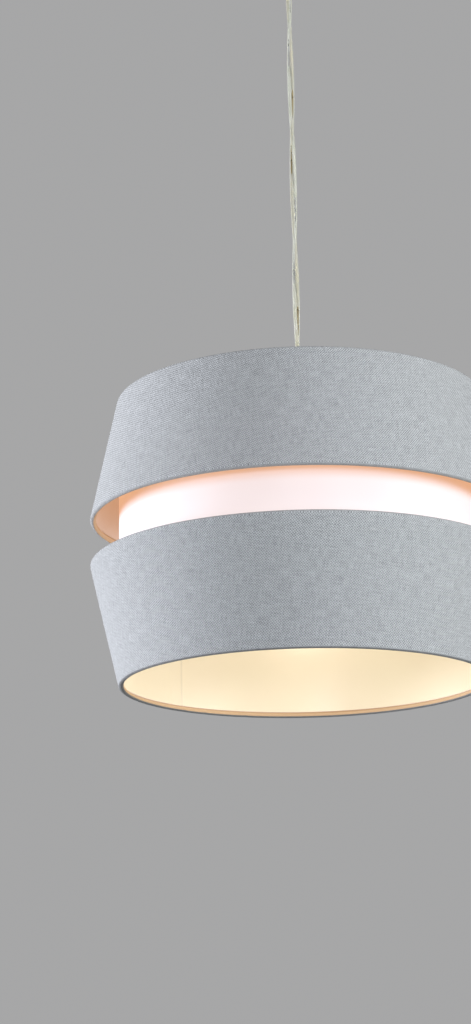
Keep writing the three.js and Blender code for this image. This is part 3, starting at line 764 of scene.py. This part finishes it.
def tier_cloth(name, top_r, top_z, low_r, low_z):
    top = roll(wire_at(top_r, top_z, True), True)[::-1]
    low = roll(wire_at(low_r, low_z, False), False)
    (r0, z0), (r1, z1) = top[-1], low[0]
    panel = [(r0 + (r1 - r0) * i / PANEL_POINTS, z0 + (z1 - z0) * i / PANEL_POINTS) for i in range(1, PANEL_POINTS)]
    outline = ribbon([*top, *panel, *low], CLOTH_T)
    cloth = turned(name, outline, "grey_cotton", ROUND_SHADE, hem_life(top_z, low_z), corner=0, crease=60)
    cloth.data.materials.append(FINISH["lit_hem"])
    cloth.data.materials.append(FINISH["hem_shade_cotton"])
    # Painted light: the rolls' inward faces take the glowing hem finish, the light inside the shade painted on as
    # glow.
    for polygon in cloth.data.polygons:
        outwards = polygon.normal.x * polygon.center.x + polygon.normal.y * polygon.center.y > 0
        at_top = abs(polygon.center.z / MM - top_z) < 2 * ROLL_R
        at_foot = abs(polygon.center.z / MM - low_z) < 2 * ROLL_R
        # Painted shade: the downward faces of the bottom roll take the darker copy of the cotton.
        if at_foot and low_r < top_r and polygon.normal.z < -0.62:
            polygon.material_index = 2
        elif (at_top or at_foot) and not outwards:
            polygon.material_index = 1
    slant = math.hypot(SHADE_R - END_R, TIER_H)
    hem = 2 * (ROLL_R - CLOTH_T / 2) * ROLL_SWEEP
    area = math.pi * (SHADE_R + END_R) * (slant + hem - 2 * ROLL_R)
    return cloth, area * MM**2


def tier_lining(name, top_r, top_z, low_r, low_z):
    short = 2 * ROLL_R + 0.5
    slope = (low_r - top_r) / (top_z - low_z)
    inset = CLOTH_T + CLEAR + SHEET_T / 2 + 0.15
    ends = wall(top_r + slope * short - inset, top_z - short, low_r - slope * short - inset, low_z + short, 5)
    return turned(name, ribbon(ends, SHEET_T), "white_lining", ROUND_SHADE, corner=0)


def seamed_drum(r, z, turn):
    """A shape for revolve: the drum's sheet steps out where its end laps over its start."""
    past = (turn - SEAM_TURN) % (2 * math.pi)
    lap = 0.09
    step = np.where(past < lap, 0.28, 0.0)
    return r + step + 0.04 * np.sin(5 * turn + z * 0.03), z


def ring_wire(name, centre, node_name):
    r, z = centre
    section = [(r + (WIRE_R - 0.1) * math.cos(a), z + (WIRE_R - 0.1) * math.sin(a))
               for a in [2 * math.pi * i / 14 for i in range(14)]]
    place(turned(name, section, "white_wire", ROUND_SHADE, corner=0, crease=80), "shade", "white_wire", node_name)


def make_shade():
    tiers = {
        "upper": (END_R, Z_TOP, SHADE_R, Z_UPPER),
        "lower": (SHADE_R, Z_LOWER, END_R, Z_BOTTOM),
    }
    for name, shape in tiers.items():
        cloth, area = tier_cloth(f"{name}_tier_cloth", *shape)
        place(cloth, "shade", "grey_cotton", f"{name}_tier_fabric")
        lining = tier_lining(f"{name}_tier_backing", *shape)
        place(lining, "shade", "white_lining", f"{name}_tier_lining")

    short = 2 * ROLL_R + 0.5
    drum_line = wall(DRUM_R, Z_BOTTOM + short, DRUM_R, Z_TOP - short, 6)
    drum = turned("drum_sheet", ribbon(drum_line, SHEET_T), "lit_drum", 720, seamed_drum, corner=0)
    drum.data.materials.append(FINISH["drum_inside"])
    # Painted light: the inward faces take a brighter cream glow, the bulb's light on the inner wall painted on.
    for polygon in drum.data.polygons:
        inwards = polygon.normal.x * polygon.center.x + polygon.normal.y * polygon.center.y < 0
        polygon.material_index = 1 if inwards else 0
    place(drum, "shade", "lit_drum", "drum_diffuser")

    ring_wire("top_ring", wire_at(END_R, Z_TOP, True), "top_wire_ring")
    ring_wire("upper_free_ring", wire_at(SHADE_R, Z_UPPER, False), "upper_free_wire_ring")
    ring_wire("lower_free_ring", wire_at(SHADE_R, Z_LOWER, True), "lower_free_wire_ring")
    ring_wire("bottom_ring", wire_at(END_R, Z_BOTTOM, False), "bottom_wire_ring")

    carrier = turned(
        "carrier_washer",
        [(21, CARRIER_Z - 1.5), (CARRIER_R, CARRIER_Z - 1.5), (CARRIER_R, CARRIER_Z), (21, CARRIER_Z)],
        "white_wire", corner=0.35,
    )
    place(carrier, "shade", "white_wire", "carrier_ring")
    arm_end_r = END_R - 2 * ROLL_R - 2 * CLEAR
    for i in range(ARM_COUNT):
        spin = Matrix.Rotation(2 * math.pi * i / ARM_COUNT, 3, "Z")
        line = spline([(0, CARRIER_R + CLEAR, CARRIER_Z - 0.9), (0, CARRIER_R + 12, CARRIER_Z - 0.6),
                       (0, arm_end_r * 0.62, Z_TOP - 8.5), (0, arm_end_r - 12, Z_TOP - 3.6),
                       (0, arm_end_r, Z_TOP - 2.4)], 14)
        sections = []
        for k in range(len(line)):
            from_end = min(k, len(line) - 1 - k)
            squash = 1 - 0.35 * math.exp(-((from_end / 2.5) ** 2))
            sections.append([(u * (2 - squash), v * squash) for u, v in circle(ARM_R * 0.98, 16)])
        points, faces = sweep([spin @ p for p in line], sections, spin @ Vector((1, 0, 0)))
        arm = new_mesh(f"carrier_spoke_{i + 1}", points, faces, "white_wire", 60)
        place(arm, "shade", "white_wire", f"carrier_arm_{i + 1}")

    reducer = turned(
        "reducer_washer",
        [(BARREL_R + 0.4, SEAT_Z - 3.4), (20.6, SEAT_Z - 3.4), (20.6, SEAT_Z - 1.8, 0.2), (24, SEAT_Z - 1.8),
         (24, SEAT_Z - CLEAR), (BARREL_R + 0.4, SEAT_Z - CLEAR)],
        "white_plastic", corner=0.3,
    )
    place(reducer, "reducer", "white_plastic", "reducer_ring")
    ring = turned(
        "shade_ring_nut",
        [(BARREL_R + 0.4, SEAT_Z - 13), (17.6, SEAT_Z - 13, 0.4), (18.4, SEAT_Z - 12.2, 0.4),
         *wall(18.45, SEAT_Z - 11.6, 18.75, SEAT_Z - 7.2, 0.6), (18.8, SEAT_Z - 6.6, 0.4), (24.5, SEAT_Z - 6.1, 0.4),
         (24.5, SEAT_Z - 4.1, 0.4), (BARREL_R + 0.4, SEAT_Z - 4.1)],
        "white_plastic", 192, ribbed(18.6, SEAT_Z - 12.1, SEAT_Z - 6.9, 32, 0.45), corner=0.3,
    )
    place(ring, "shade_ring", "white_plastic", "shade_ring")


# ---------------------------------------------------------------- CAD nodes that stay, and the studio


def finish_nodes():
    """Gives each CAD node that stays the procedural finish of its slot."""
    for row in frame["record"]["subparts"]:
        for holder in frame["nodes"][row["node"]].material_slots:
            holder.link = "OBJECT"
            holder.material = FINISH[row["material_slot"]]


def area_light(name, spot, target, size, watts, colour):
    data = bpy.data.lights.new(name, "AREA")
    data.shape = "DISK"
    data.size = size
    data.energy = watts
    data.color = colour
    data.spread = math.radians(70)
    light = bpy.data.objects.new(name, data)
    light.location = spot
    light.rotation_euler = (Vector(target) - Vector(spot)).to_track_quat("-Z", "Y").to_euler()
    bpy.context.scene.collection.objects.link(light)


def make_studio():
    middle = (0, 0, (Z_UPPER + Z_LOWER) / 2 * MM)
    area_light("left_softbox", (-2.2, 0.45, -0.72), middle, 0.9, 12.3, (0.93, 0.95, 1.0))
    area_light("right_softbox", (2.3, -0.9, -0.68), middle, 1.0, 8.6, (0.96, 1.0, 0.99))
    area_light("front_light", (-0.5, -2.4, -0.82), middle, 0.35, 3.2, (0.86, 0.93, 1.0))
    area_light("overhead", (0.3, -1.4, 1.2), middle, 1.2, 1.8, (1.0, 0.98, 0.96))

    world = bpy.context.scene.world or bpy.data.worlds.new("studio")
    bpy.context.scene.world = world
    world.use_nodes = True
    background = world.node_tree.nodes["Background"]
    background.inputs["Color"].default_value = (0.74, 0.74, 0.745, 1)
    background.inputs["Strength"].default_value = 0.52

    bpy.ops.mesh.primitive_plane_add(size=60, location=(0, 0, -4.5))
    floor = bpy.context.object
    floor.name = "floor"
    floor.data.materials.append(mottled("pale_floor", (0.7, 0.7, 0.69), 0.7, spread=0.02, scale=2))
    bpy.context.scene.view_settings.view_transform = "Standard"


make_camera()
FINISH = make_materials()
make_flex()
make_rose()
make_holder()
make_bulb()
make_shade()
finish_nodes()
make_studio()
